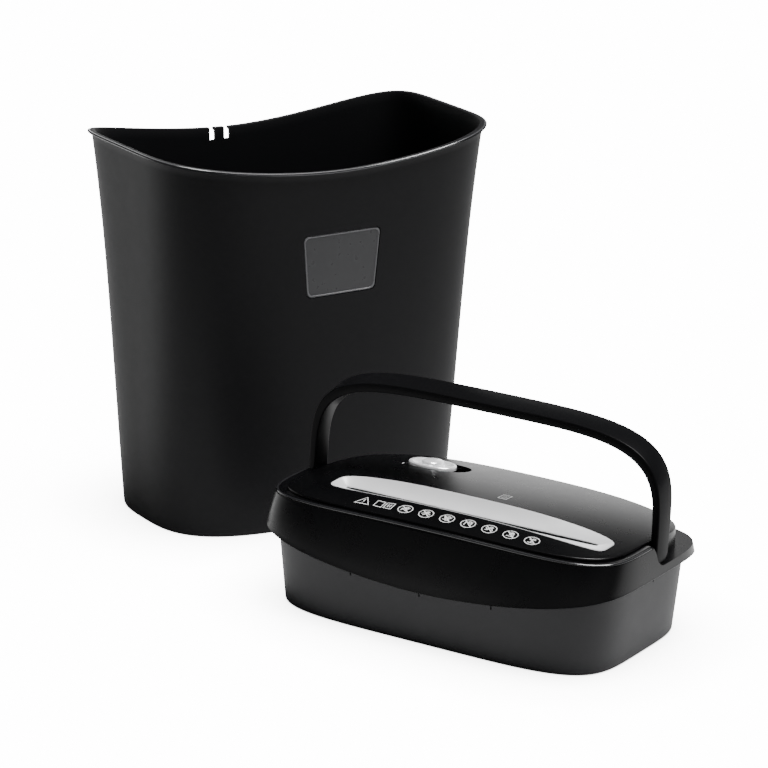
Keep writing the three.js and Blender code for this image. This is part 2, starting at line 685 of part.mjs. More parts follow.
function makeLever() {
  const arm = box(THROAT.x - 1.5, THROAT.x + 1.5, THROAT.y - 8, LEVER.y, LEVER.z - 1, LEVER.z + 1.6);
  return carve([arm, rod("x", 2.6, THROAT.x - 2.4, THROAT.x + 2.4, LEVER.y, LEVER.z, 12)]);
}

function makePlunger() {
  const { x, z0 } = INTERLOCK;
  const foot = box(x - 4, x + 4, 77, 89.8, z0, z0 + 3);
  const stem = box(x - 2.5, x + 2.5, 76, 80, z0, z0 + 15.4);
  return carve([foot, stem]);
}

// grommet in the rear wall, flanged on the outside, where the mains lead would enter
function makeGland() {
  const y0 = 78.5;
  const wallOut = 85.6;
  const flange = rod("y", GLAND.r + 2.5, wallOut, wallOut + 1.8, GLAND.x, GLAND.z, 20);
  const neck = rod("y", GLAND.r, y0, wallOut + 1, GLAND.x, GLAND.z, 20);
  return carve([flange, neck], [rod("y", 4, 60, 100, GLAND.x, GLAND.z, 16)]);
}

// ---------------------------------------------------------------- assembly
const shredder = new THREE.Group();
const head = new THREE.Group();
head.position.set(HEAD.x, HEAD.y, 0);
head.rotation.z = HEAD.yaw;
shredder.add(head);

function add(group, name, geometry, finish) {
  const mesh = new THREE.Mesh(geometry, finish);
  mesh.name = name;
  group.add(mesh);
}

add(shredder, "waste_bin", makeBin(), M.bin);
add(shredder, "bin_window", makePane(), M.pane);

add(head, "lower_casing", makeCasing(), M.casing);
add(head, "top_cover", makeCover(), M.cover);
add(head, "throat_bezel", makeBezel(), M.silver);
add(head, "throat_guide_front", makeGuide(-1), M.black);
add(head, "throat_guide_rear", makeGuide(1), M.black);
add(head, "switch_knob", makeKnob(), M.silver);
add(head, "switch_body", makeSwitchBody(), M.black);
add(head, "carry_handle", makeHandle(), M.handle);
add(head, "handle_pin_left", makeHandlePin(-1), M.steel);
add(head, "handle_pin_right", makeHandlePin(1), M.steel);

add(head, "frame_plate_left", makePlate(PLATE.leftX, -70, 62), M.steel);
add(head, "frame_plate_right", makePlate(PLATE.rightX, -65, 12), M.steel);
TIE_RODS.forEach((place, i) => add(head, `tie_rod_${i + 1}`, makeTieRod(place), M.steel));
for (const [name, shaft, x0, offset] of [
  ["front", FRONT_SHAFT, -116, 0],
  ["rear", REAR_SHAFT, -140, DISC.pitch / 2],
]) {
  add(head, `cutter_shaft_${name}`, rod("x", SHAFT_R, x0, 132.5, shaft.y, shaft.z, 16), M.steel);
  add(head, `cutter_discs_${name}`, makeCutters(shaft, offset), M.steel);
  add(head, `stripper_comb_${name}`, makeComb(shaft, offset, name === "front" ? -1 : 1), M.black);
  add(head, `bush_${name}_left`, makeBush(shaft, PLATE.leftX), M.copper);
  add(head, `bush_${name}_right`, makeBush(shaft, PLATE.rightX), M.copper);
  const phase = name === "front" ? 0 : Math.PI + Math.PI / SYNC.teeth;
  const bore = SHAFT_R + GAP;
  add(head, `sync_gear_${name}`, gear(SYNC, shaft.y, shaft.z, -114, -107.5, phase, bore), M.nylon);
}

const driveGear = gear(DRIVE, REAR_SHAFT.y, REAR_SHAFT.z, -126.5, -118, DRIVE_PHASE, SHAFT_R + GAP);
add(head, "drive_gear", driveGear, M.nylon);
add(head, "intermediate_gear", makeIntermediate(), M.nylon);
add(head, "gear_axle", rod("x", 2.5, -139.4, -101, WHEEL_PLACE.y, WHEEL_PLACE.z, 12), M.steel);
add(head, "gear_plate", makeGearPlate(), M.steel);
STANDOFFS.forEach(([y, z], i) => {
  add(head, `gear_plate_standoff_${i + 1}`, rod("x", 2.5, -136.5, PLATE.leftX - GAP, y, z, 8), M.steel);
});
add(head, "motor", makeMotor(), M.steel);
add(head, "motor_pinion", makePinion(), M.steel);
add(head, "cooling_fan", makeFan(), M.black);
add(head, "thermal_cutout", box(-60, -44, MOTOR.y - 5, MOTOR.y + 5, 58, 62), M.black);

add(head, "circuit_board",
  box(BOARD.x0, BOARD.x1, BOARD.y0, BOARD.y1, BOARD.z, BOARD.z + BOARD.thick), M.board);
add(head, "power_relay", box(40, 60, 42, 57, 11.1, 27), M.black);
add(head, "noise_capacitor", box(72, 98, 44, 55, 11.1, 26), M.copper);
add(head, "paper_sensor_lever", makeLever(), M.nylon);
add(head, "paper_sensor_switch",
  box(THROAT.x - 8, THROAT.x + 8, LEVER.y + 3.2, LEVER.y + 12, LEVER.z - 6, LEVER.z + 6), M.black);
add(head, "interlock_plunger", makePlunger(), M.nylon);
add(head, "interlock_switch",
  box(INTERLOCK.x - 9, INTERLOCK.x + 9, 64, 73, INTERLOCK.z0 + 10, INTERLOCK.z0 + 20), M.black);
add(head, "cord_gland", makeGland(), M.black);
SCREWS.forEach((place, i) => add(head, `casing_screw_${i + 1}`, makeScrew(place), M.steel));

export default shredder;
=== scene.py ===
import json
import math

import bmesh
import bpy
from mathutils import Matrix, Vector


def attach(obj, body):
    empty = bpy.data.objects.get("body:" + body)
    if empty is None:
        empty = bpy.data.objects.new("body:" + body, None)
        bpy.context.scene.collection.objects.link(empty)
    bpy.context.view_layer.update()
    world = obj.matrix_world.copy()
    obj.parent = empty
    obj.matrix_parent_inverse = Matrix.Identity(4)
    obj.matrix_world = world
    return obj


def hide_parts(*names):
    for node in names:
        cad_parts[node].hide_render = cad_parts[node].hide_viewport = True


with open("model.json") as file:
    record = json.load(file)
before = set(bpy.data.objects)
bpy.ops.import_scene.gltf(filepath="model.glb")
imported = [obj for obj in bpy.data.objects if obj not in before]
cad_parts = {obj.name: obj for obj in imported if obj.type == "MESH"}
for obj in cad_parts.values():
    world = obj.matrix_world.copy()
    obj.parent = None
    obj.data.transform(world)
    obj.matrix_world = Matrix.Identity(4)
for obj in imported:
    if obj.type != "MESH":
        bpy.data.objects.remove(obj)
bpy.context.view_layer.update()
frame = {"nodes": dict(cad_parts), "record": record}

MM = 0.001
SEG = 224           # points round a large outline
OVAL_SEG = 160      # round the throat
KNOB_SEG = 96       # round the knob
BUNCH = 0.35        # how strongly the points crowd towards an outline's corners

# ---------------------------------------------------------------- driving dimensions in mm
# a and b are half-lengths along x and y, and n is the power of a super-ellipse
BIN = dict(base=(138.1, 85.4, 3.1), rim=(158.1, 91.9, 5.2), height=320.7, dip=19.5, dip_power=1.8,
           flare=5.9, flare_power=3.8, lip=2.7, wall=2.2, floor=2.6)
# sections as (grow beyond the bin's outer face, drop below its rim)
LIP_UNDERSIDE = ((0, 3.4), (0.5, 2.6))
CLIP = dict(x=-16.5, tab=9.0, notch=5.0, depth=10.0, cut_y=(80, 100))
WINDOW = dict(top=248.9, bottom=196.1, top_half=37.0, bottom_half=32.5, corner=5.0,
              cut_y=(-97, -72))
# sections as (grow beyond the opening, depth behind the bin's face)
PANE = ((-1.6, 2.0), (-1.6, 0.5), (-2.1, 0.5))
PANE_BORDER = ((-0.55, 1.9), (-0.55, 0.5), (-0.9, 0.15), (-1.7, 0.15), (-2.1, 0.55), (-2.1, 1.9))
RIM_BEAD = dict(r=1.2, proud=0.1)
HEAD = dict(x=-15.8, y=-315.7, yaw=math.radians(-65.5))
CASE = dict(base=(146.2, 83.4), top=(152.4, 86.5), n=4.7, height=66.0, wall=2.2, floor=2.4,
            edge=2.2)
SKIRT = dict(a=159.4, b=93.2, n=4.86, mid_z=44.9, dip=19.5, dip_power=1.8, wall=2.4, edge=2.2)
RING = dict(a=155.9, b=82.4, n=4.84, z=92.8, crown=4.2)
RING_BEAD = dict(r=1.0, inset=0.75, end_y=-8.0)
# gutter round the deck as (way in from the skirt, fall from the ring)
GUTTER = ((2.9, 0.05), (4.2, 0.3), (9.0, 1.3))
DECK = dict(a=148.3, b=76.4, n=4.78, dome=7.4, dome_power=3.1, step=0.8, crest_y=-29.6,
            front_power=2.15, rear_fall=0.00086, edge=0.9)
LEDGE_Z = 71.2
STEP_TOP = 140
# the step up to the deck that the handle's feet stand behind, as (y, z) from top to ledge
STEP = ((-6.4, STEP_TOP), (-6.4, 89.4), (-5.6, 86.6), (-4.1, 84.4), (-3.0, 81.8), (-2.6, 79.2),
        (-2.2, 77.0), (-1.1, 75.2), (0.6, 73.7), (2.4, 72.2), (4.2, 71.5), (6.0, LEDGE_Z))
THROAT = dict(x=12.8, y=-35.6, half=112.0, width=6.0, slot_z=92.3)
BEZEL = dict(a=121.7, b=17.0, n=5.0, sheet=1.8, rim=0.4, bowl_power=1.4)
SEAT = dict(gap=0.3, z=(60, 130))
# painted shade: black lip in the slot, which darkens it as its shade would, as (way in from the
# slot's edge, drop below it)
SLOT_SHADE_LINER = ((0.15, 4.2), (0.15, 0.6), (0.3, 0.45), (0.55, 0.45), (0.7, 0.6), (0.7, 4.2))
SWITCH = dict(x=-69.0, y=41.0, z=94.9, tilt=math.radians(-6.3), a=20.0, b=13.5, n=2.3,
              travel=12.0, recess=1.5, margin_a=2.0, margin_b=1.5)
# knob as (way in along it, way in across it, height): a dished oval with a raised rim,
# and a domed button standing in its middle
KNOB = ((0, 0, -1.2), (0, 0, 1.2), (0.3, 0.3, 1.8), (1.0, 1.0, 2.2), (2.2, 1.8, 2.2),
        (4.0, 2.4, 1.7), (7.5, 3.2, 0.4), (10.6, 3.9, 0.0), (11.4, 4.2, 0.3), (11.8, 4.4, 2.4),
        (12.2, 4.7, 3.4), (13.0, 5.4, 4.0), (14.4, 6.8, 4.4), (16.6, 9.2, 4.7), (18.8, 12.0, 4.8))
HANDLE = dict(x=-0.8, pivot_y=7.3, pivot_z=81.0, pivot_r=2.9, lean=math.radians(3.6),
              a=157.2, h=86.7, n=4.4, rise=0.8, leg_thick=6.1, top_thick=7.1,
              leg_width=18.4, top_width=19.0, flare=5.8, edge=1.2)
PAST_ENDS = 160     # x beyond either end of the head
CASE_REAR = (70, 95)
SCREWS = ((-135, 51), (135, 51), (-137, -49), (137, -49))
SCREW_BORE = dict(r=4.2, depth=3.4)
EXIT = (-100, 125, THROAT["y"] - 29, THROAT["y"] + 29)
GLAND = dict(x=60, z=26, r=7.3)
INTERLOCK = dict(half=4.4, z0=41.6, z1=49.6)
TICK = dict(xs=(-62.0, 0.2, 63.5, 124.0), face=-85.3, end=151.6, end_y=3.2, end_at=0.95,
            half=0.6, depth=1.6, below=6, above=3, cut_y=-92)
MARKS = dict(first=-64.3, pitch=18.6, y=-63.5, ring=5.9, squash=0.86, lift=0.06, sunk=0.1, step=1.2)
INK = dict(outline=0.65, bar=0.8, figure=0.75, dot=0.7, sheet=0.7, rule=0.6, switch=0.9)
SHEET_MARK = (24.7, -3.7)
SWITCH_MARK = ((-91, 36.0), (-91, 39.5))
# made-up figures inside the rings of the row of marks, as strokes
FIGURES = (
    (((-3.2, -2.8), (-0.6, 2.2), (1.0, -1.0), (3.2, 2.6)), ((-3.2, 0.2), (2.4, -3.2))),
    (((-3.8, -1.0), (0, 1.5), (3.8, -1.0)), ((-1.8, -3.0), (1.8, 3.0)), ((-2.8, 1.8), (2.4, 2.6))),
    (((-3.2, 2.6), (0, -3.2), (3.2, 2.6)), ((-1.8, 0), (1.8, 0)), ((-3.4, -1.8), (3.0, -2.6))),
    (((-2.6, -3.0), (-2.6, 2.6), (0, 0), (2.6, 2.6), (2.6, -3.0)),),
    (((-3.6, 1.8), (-1.0, -1.8), (1.0, 2.0), (3.6, -1.8)), ((-3.0, -2.4), (2.6, 3.0))),
    (((-2.8, -2.4), (2.8, -2.4), (2.0, 2.4), (-2.0, 2.4)), ((-1.4, 0), (1.6, 0))),
    (((0, -3.6), (0, 3.4)), ((-2.4, -3.4), (2.4, -3.4)), ((-2.4, 0.6), (2.4, 1.8))),
)

HEAD_PLACE = Matrix.Translation((HEAD["x"], HEAD["y"], 0)) @ Matrix.Rotation(HEAD["yaw"], 4, "Z")
SWITCH_AT = Matrix.Translation((SWITCH["x"], SWITCH["y"], SWITCH["z"]))
SWITCH_PLACE = SWITCH_AT @ Matrix.Rotation(SWITCH["tilt"], 4, "X")


# ---------------------------------------------------------------- mesh helpers
def super_point(angle, n):
    """Point of the unit super-ellipse at a polar angle."""
    c, s = math.cos(angle), math.sin(angle)
    r = (abs(c) ** n + abs(s) ** n) ** (-1 / n)
    return r * c, r * s


def outline(n, count=SEG):
    """Unit super-ellipse as (x, y), anticlockwise, with its points bunched towards its corners."""
    points = []
    for i in range(count):
        t = 2 * math.pi * i / count
        points.append(super_point(t + BUNCH * math.sin(4 * t) / 4, n))
    return points


def add_loft(bm, rings, looped=False):
    """Skin over equal rings of points; the ends are closed by fans unless it is looped."""
    rows = [[bm.verts.new(p) for p in points] for points in rings]
    count = len(rows[0])
    spans = len(rows) if looped else len(rows) - 1
    for k in range(spans):
        low, high = rows[k], rows[(k + 1) % len(rows)]
        for i in range(count):
            j = (i + 1) % count
            bm.faces.new((low[i], low[j], high[j], high[i]))
    if not looped:
        for row, up in ((rows[0], False), (rows[-1], True)):
            middle = sum((v.co for v in row), Vector()) / count
            hub = bm.verts.new(middle)
            for i in range(count):
                a, b = row[i], row[(i + 1) % count]
                bm.faces.new((a, b, hub) if up else (b, a, hub))


def make_object(name, build, place=Matrix.Identity(4), sharp=35):
    """Object from a function that fills a bmesh in millimetres, placed and scaled to metres."""
    bm = bmesh.new()
    build(bm)
    bm.transform(Matrix.Scale(MM, 4) @ place)
    mesh = bpy.data.meshes.new(name)
    bm.to_mesh(mesh)
    bm.free()
    obj = bpy.data.objects.new(name, mesh)
    bpy.context.scene.collection.objects.link(obj)
    smooth(obj, sharp)
    return obj


def move_to_head(obj):
    """Carries an object made in the head's own frame to where the head stands."""
    obj.data.transform(Matrix.Scale(1 / MM, 4))
    obj.data.transform(Matrix.Scale(MM, 4) @ HEAD_PLACE)
    return obj


def smooth(obj, angle):
    """Smooth shading, with edges sharper than angle degrees kept crisp."""
    obj.data.shade_smooth()
    obj.data.set_sharp_from_angle(angle=math.radians(angle))


def apply_modifiers(obj):
    """Swaps the object's mesh for the one its modifiers make."""
    bpy.context.view_layer.update()
    graph = bpy.context.evaluated_depsgraph_get()
    mesh = bpy.data.meshes.new_from_object(obj.evaluated_get(graph))
    old = obj.data
    obj.modifiers.clear()
    obj.data = mesh
    mesh.name = obj.name
    bpy.data.meshes.remove(old)


def weld(obj, reach=0.02 * MM):
    """Merges the needle-thin triangles that a boolean leaves along its seams."""
    bm = bmesh.new()
    bm.from_mesh(obj.data)
    bmesh.ops.remove_doubles(bm, verts=bm.verts, dist=reach)
    bmesh.ops.dissolve_degenerate(bm, edges=bm.edges, dist=reach)
    bmesh.ops.triangulate(bm, faces=[face for face in bm.faces if len(face.verts) > 4])
    bmesh.ops.dissolve_degenerate(bm, edges=bm.edges, dist=reach)
    bm.to_mesh(obj.data)
    bm.free()


def combine(obj, others, operation, sharp=35):
    """Joins or cuts the other objects into obj, then deletes them."""
    for other in others:
        modifier = obj.modifiers.new("solid", "BOOLEAN")
        modifier.operation = operation
        modifier.solver = "EXACT"
        modifier.object = other
    apply_modifiers(obj)
    for other in others:
        mesh = other.data
        bpy.data.objects.remove(other)
        bpy.data.meshes.remove(mesh)
    weld(obj)
    smooth(obj, sharp)
    return obj


def add_box(bm, x0, x1, y0, y1, z0, z1):
    size = Matrix.Diagonal((x1 - x0, y1 - y0, z1 - z0, 1))
    middle = Matrix.Translation(((x0 + x1) / 2, (y0 + y1) / 2, (z0 + z1) / 2))
    bmesh.ops.create_cube(bm, size=1, matrix=middle @ size)


def add_rod(bm, start, end, r, sides=32):
    """Round rod of radius r from start to end."""
    start, end = Vector(start), Vector(end)
    turn = (end - start).to_track_quat("Z", "Y").to_matrix().to_4x4()
    place = Matrix.Translation((start + end) / 2) @ turn
    bmesh.ops.create_cone(bm, cap_ends=True, segments=sides, radius1=r, radius2=r,
                          depth=(end - start).length, matrix=place)


def add_prism(bm, points, y0, y1):
    """An XZ outline, anticlockwise seen from the front, carried from y0 to y1."""
    front = [bm.verts.new((x, y0, z)) for x, z in points]
    back = [bm.verts.new((x, y1, z)) for x, z in points]
    bm.faces.new(front)
    bm.faces.new(list(reversed(back)))
    for i in range(len(points)):
        j = (i + 1) % len(points)
        bm.faces.new((front[j], front[i], back[i], back[j]))


# ---------------------------------------------------------------- waste bin
def bin_point(level, ux, uy, grow=0.0, drop=0.0):
    """Point of the bin's outer face, level 0 at its base and 1 at its dipping rim."""
    rim = BIN["height"] - BIN["dip"] * (1 - abs(ux) ** BIN["dip_power"])
    z = level * rim - drop
    s = max(z, 0) / BIN["height"]
    swell = BIN["flare"] * (s ** BIN["flare_power"] - s)
    (a0, b0, _), (a1, b1, _) = BIN["base"], BIN["rim"]
    a = a0 + (a1 - BIN["lip"] - a0) * s + swell + grow
    b = b0 + (b1 - BIN["lip"] - b0) * s + swell + grow
    return Vector((a * ux, b * uy, z))


def bin_ring(level, grow=0.0, drop=0.0, lift=0.0):
    """Outline of the bin at a level, rounder at its base than at its rim."""
    n = BIN["base"][2] + (BIN["rim"][2] - BIN["base"][2]) * level
    return [bin_point(level, x, y, grow, drop) + Vector((0, 0, lift)) for x, y in outline(n)]


def window_points(grow, steps=6):
    """Outline of the window with rounded corners, as (x, z)."""
    low, high, corner = WINDOW["bottom"] - grow, WINDOW["top"] + grow, WINDOW["corner"]
    low_x, high_x = WINDOW["bottom_half"] + grow, WINDOW["top_half"] + grow
    corners = [(-low_x, low), (low_x, low), (high_x, high), (-high_x, high)]
    points = []
    for k, here in enumerate(corners):
        here = Vector(here)
        before = (Vector(corners[k - 1]) - here).normalized() * corner
        after = (Vector(corners[(k + 1) % 4]) - here).normalized() * corner
        for i in range(steps + 1):
            t = i / steps
            points.append(here + before * (1 - t) ** 2 + after * t ** 2)
    return [(p.x, p.y) for p in points]


def add_notches(bm):
    """The two slits beside the clip tab in the rear rim."""
    low = BIN["height"] - BIN["dip"] - CLIP["depth"]
    for side in (-1, 1):
        inner = CLIP["x"] + side * CLIP["tab"] / 2
        outer = inner + side * CLIP["notch"]
        add_box(bm, min(inner, outer), max(inner, outer), *CLIP["cut_y"], low, BIN["height"])


def make_bin():
    """Hollow tapered shell with its rolled lip, cut for the clip and the window."""
    lip, wall = BIN["lip"], BIN["wall"]

    def build(bm):
        levels = [i / 36 for i in range(36)]
        # a rounded foot
        rings = [bin_ring(0, grow=-1.6), bin_ring(0, grow=-0.5, lift=0.4), bin_ring(0, lift=1.6)]
        rings += [bin_ring(v) for v in levels[1:]]
        # the wall turns out into the lip, over its rounded top and back down inside
        outer_lip = ((lip - 0.5, 2.2), (lip, 1.7), (lip, 0.7), (lip - 0.3, 0.2), (lip - 0.9, 0))
        inner_lip = ((0.6 - wall, 0), (0.2 - wall, 0.2), (-wall, 0.8))
        rings += [bin_ring(1, grow, drop) for grow, drop in LIP_UNDERSIDE + outer_lip + inner_lip]
        rings += [bin_ring(v, -wall) for v in reversed(levels[1:])]
        rings += [bin_ring(0, -wall, lift=5.0), bin_ring(0, -wall - 1.6, lift=BIN["floor"])]
        add_loft(bm, rings)

    shell = make_object("waste_bin_shell", build)
    cutters = [make_object("notches", add_notches),
               make_object("opening", lambda bm: add_prism(bm, window_points(0), *WINDOW["cut_y"]))]
    return combine(shell, cutters, "DIFFERENCE")


def window_row(grow, depth):
    """Outline of the window at a depth behind the bin's face, which leans with the wall."""
    row = []
    for x, z in window_points(grow):
        wall_y = -bin_point(z / (BIN["height"] - BIN["dip"]), 0, 1).y
        row.append(Vector((x, wall_y + depth, z)))
    return row


def make_pane():
    def build(bm):
        add_loft(bm, [window_row(grow, depth) for grow, depth in PANE])
    return make_object("window_pane", build)


def make_pane_border():
    """Raised edge of the pane, where its moulding is thick and looks paler."""
    def build(bm):
        add_loft(bm, [window_row(grow, depth) for grow, depth in PANE_BORDER], looped=True)
        bmesh.ops.recalc_face_normals(bm, faces=bm.faces)
    return make_object("window_border", build)


def bead_section(here, along, r, sides=10):
    """Circle of points round here, square to a way along that is about level."""
    out = along.cross(Vector((0, 0, 1))).normalized()
    up = out.cross(along)
    turns = [2 * math.pi * k / sides for k in range(sides)]
    return [here + r * (math.cos(turn) * out + math.sin(turn) * up) for turn in turns]


def make_rim_bead():
    """Polished bead on the outer edge of the bin's lip, cut by the clip notches; its paler colour is
    a painted highlight along the lip.
    """
    r, sunk = RIM_BEAD["r"], RIM_BEAD["r"] - RIM_BEAD["proud"]
    path = bin_ring(1, BIN["lip"] - sunk, sunk)

    def build(bm):
        sections = []
        for i, here in enumerate(path):
            along = (path[(i + 1) % len(path)] - path[i - 1]).normalized()
            sections.append(bead_section(here, along, r))
        add_loft(bm, list(zip(*sections)), looped=True)
        bmesh.ops.recalc_face_normals(bm, faces=bm.faces)

    bead = make_object("bin_rim_bead", build)
    return combine(bead, [make_object("notches", add_notches)], "DIFFERENCE")


# ---------------------------------------------------------------- head shells
def low_edge(ux):
    """Height of the skirt's lower edge, which dips in the middle of each long side."""
    return SKIRT["mid_z"] + SKIRT["dip"] * abs(ux) ** SKIRT["dip_power"]


def ring_top(x):
    """Height of the ring round the deck, which falls towards both ends."""
    return RING["z"] - RING["crown"] * (x / RING["a"]) ** 2


def deck_top(x, y):
    """Height of the domed deck, which falls to its front, to both ends and a little to its rear."""
    across = 1 - min(abs(x) / DECK["a"], 1) ** DECK["dome_power"]
    ahead = max(DECK["crest_y"] - y, 0) / (DECK["b"] + DECK["crest_y"])
    behind = max(y - DECK["crest_y"], 0)
    rise = DECK["dome"] * across * (1 - min(ahead, 1) ** DECK["front_power"])
    return ring_top(x) + DECK["step"] + rise - DECK["rear_fall"] * behind ** 2


def skirt_ring(t, inset=0.0, lift=0.0):
    """Outline of the slightly bowed skirt, t 0 at its lower edge and 1 at the ring."""
    bow = 0.7 * t + 0.3 * t * t
    n = SKIRT["n"] + (RING["n"] - SKIRT["n"]) * t
    points = []
    for ux, uy in outline(n):
        a = SKIRT["a"] + (RING["a"] - SKIRT["a"]) * bow - inset
        b = SKIRT["b"] + (RING["b"] - SKIRT["b"]) * bow - inset
        x = a * ux
        low = low_edge(ux)
        points.append(Vector((x, b * uy, low + (ring_top(x) - low) * t + lift)))
    return points


def skirt_solid(inset, drop):
    """Solid skirt with its ring; its lower edge is eased, unless a drop carries it further down."""
    def build(bm):
        edge = SKIRT["edge"]
        if drop:
            rings = [skirt_ring(0, inset, -drop)]
        else:
            rings = [skirt_ring(0, inset + 0.5, 0), skirt_ring(0, inset, 0.5)]
        rings += [skirt_ring(i / 16, inset) for i in range(1, 16)]
        # a rounded edge carries the skirt over into the ring
        for i in range(5):
            turn = math.radians(22.5 * i)
            pull, fall = edge * (1 - math.cos(turn)), edge * (1 - math.sin(turn))
            rings.append(skirt_ring(1, inset + pull, -inset - fall))
        # which falls again in a shallow gutter round the deck
        rings += [skirt_ring(1, inset + pull, -inset - fall) for pull, fall in GUTTER]
        add_loft(bm, rings)
    return make_object("skirt", build)


def make_ring_bead():
    """Polished edge where the skirt turns over into the ring; it stops at the handle's step. Its
    colour, lighter than the cover's, is a painted highlight.
    """
    inset = RING_BEAD["inset"]
    path = [p for p in reversed(skirt_ring(1, inset, -inset)) if p.y < RING_BEAD["end_y"]]
    last = len(path) - 1

    def build(bm):
        rows = []
        for i, here in enumerate(path):
            along = (path[min(i + 1, last)] - path[max(i - 1, 0)]).normalized()
            rows.append(bead_section(here, along, RING_BEAD["r"]))
        add_loft(bm, rows)
        bmesh.ops.recalc_face_normals(bm, faces=bm.faces)
    return make_object("ring_bead", build, HEAD_PLACE)


def deck_solid(inset, base_z):
    """Solid deck with upright sides, a rounded edge and a dome that closes in rings."""
    spans = 34

    def build(bm):
        a, b, edge = DECK["a"] - inset, DECK["b"] - inset, DECK["edge"]
        shape = outline(DECK["n"])

        def on_top(x, y, fall):
            return Vector((x, y, deck_top(x, y) - inset - fall))

        rings = [[Vector((a * x, b * y, base_z)) for x, y in shape]]
        for i in range(6):
            turn = math.radians(18 * i)
            pull, fall = edge * (1 - math.cos(turn)), edge * (1 - math.sin(turn))
            rings.append([on_top((a - pull) * x, (b - pull) * y, fall) for x, y in shape])
        for k in range(1, spans):
            r = (1 - k / spans) * (1 - edge / b)
            rings.append([on_top(a * x * r, b * y * r, 0) for x, y in shape])
        add_loft(bm, rings)
    return make_object("deck", build)


def rear_space(grow):
    """Everything above the ledge and behind the handle's step, right across the head."""
    far, wide = STEP_TOP, 200
    points = [(y - grow, z - (grow if z < far else 0)) for y, z in STEP]
    points += [(far, LEDGE_Z - grow), (far, far)]

    def build(bm):
        left = [bm.verts.new((-wide, y, z)) for y, z in points]
        right = [bm.verts.new((wide, y, z)) for y, z in points]
        bm.faces.new(list(reversed(left)))
        bm.faces.new(right)
        for i in range(len(points)):
            j = (i + 1) % len(points)
            bm.faces.new((left[i], left[j], right[j], right[i]))
    return make_object("rear_space", build)


def oval_column(bm, a, b, n, x, y, z0, z1, count=KNOB_SEG):
    """Upright super-elliptic column centred at (x, y)."""
    shape = outline(n, count)
    add_loft(bm, [[Vector((x + a * ux, y + b * uy, z)) for ux, uy in shape] for z in (z0, z1)])


def knob_recess(bm):
    """Oval that clears the knob over its whole travel, tilted with the deck."""
    shift = SWITCH["travel"] / 2
    a = SWITCH["a"] + shift + SWITCH["margin_a"]
    b = SWITCH["b"] + SWITCH["margin_b"]
    oval_column(bm, a, b, SWITCH["n"], shift, 0, -SWITCH["recess"], 20)
    bm.transform(SWITCH_PLACE)


def make_cover():
    """Skirt, ring and deck as one shell, cut for the throat, the knob and the handle's pivots."""
    wall = SKIRT["wall"]
    outer = combine(skirt_solid(0, 0), [rear_space(0)], "DIFFERENCE")
    combine(outer, [deck_solid(0, LEDGE_Z - wall)], "UNION")
    inner = combine(skirt_solid(wall, 6), [rear_space(wall)], "DIFFERENCE")
    combine(inner, [deck_solid(wall, LEDGE_Z - wall - 4)], "UNION")

    def bezel_seat(bm):
        a, b = BEZEL["a"] + SEAT["gap"], BEZEL["b"] + SEAT["gap"]
        oval_column(bm, a, b, BEZEL["n"], THROAT["x"], THROAT["y"], *SEAT["z"], OVAL_SEG)

    def pivots(bm):
        y, z = HANDLE["pivot_y"], HANDLE["pivot_z"]
        add_rod(bm, (-PAST_ENDS, y, z), (PAST_ENDS, y, z), HANDLE["pivot_r"])

    makers = (("bezel_seat", bezel_seat), ("knob_recess", knob_recess), ("pivots", pivots))
    openings = [make_object(name, maker) for name, maker in makers]
    combine(outer, [inner] + openings, "DIFFERENCE", sharp=30)
    outer.name = "top_cover_shell"
    return move_to_head(outer)


def case_ring(z, inset):
    """Outline of the casing at a height; its walls lean out a little."""
    s = z / CASE["height"]
    (a0, b0), (a1, b1) = CASE["base"], CASE["top"]
    a = a0 + (a1 - a0) * s - inset
    b = b0 + (b1 - b0) * s - inset
    return [Vector((a * x, b * y, z)) for x, y in outline(CASE["n"])]


def add_ticks(bm):
    """Short upright grooves in the casing's wall, just under the skirt."""
    half, depth = TICK["half"], TICK["depth"]
    for x in TICK["xs"]:
        low = low_edge(x / SKIRT["a"])
        heights = low - TICK["below"], low + TICK["above"]
        add_box(bm, x - half, x + half, TICK["cut_y"], TICK["face"] + depth, *heights)
    low, y = low_edge(TICK["end_at"]), TICK["end_y"]
    heights = low - TICK["below"], low + TICK["above"]
    for side in (-1, 1):
        near, far = side * (TICK["end"] - depth), side * PAST_ENDS
        add_box(bm, min(near, far), max(near, far), y - half, y + half, *heights)


def make_casing():
    """Open-topped tub with its floor's openings, the rear wall's holes and the ticks."""
    def build(bm):
        edge, wall, height = CASE["edge"], CASE["wall"], CASE["height"]
        rings = []
        for i in range(6):
            turn = math.radians(18 * i)
            rings.append(case_ring(edge * (1 - math.cos(turn)), edge * (1 - math.sin(turn))))
        rings += [case_ring(z, 0) for z in (10, 24, 38, 52, height)]
        rings += [case_ring(z, wall) for z in (height, 40, 20, 5)]
        rings += [case_ring(CASE["floor"], wall + 2.0)]
        add_loft(bm, rings)

    def holes(bm):
        inside, outside = CASE_REAR
        x, half = CLIP["x"], INTERLOCK["half"]
        add_box(bm, *EXIT, -5, 5)
        add_rod(bm, (GLAND["x"], inside, GLAND["z"]), (GLAND["x"], outside, GLAND["z"]), GLAND["r"])
        add_box(bm, x - half, x + half, inside, outside, INTERLOCK["z0"], INTERLOCK["z1"])
        for x, y in SCREWS:
            add_rod(bm, (x, y, -1), (x, y, SCREW_BORE["depth"]), SCREW_BORE["r"])
        add_ticks(bm)

    shell = make_object("lower_casing_shell", build)
    combine(shell, [make_object("holes", holes)], "DIFFERENCE")
    return move_to_head(shell)


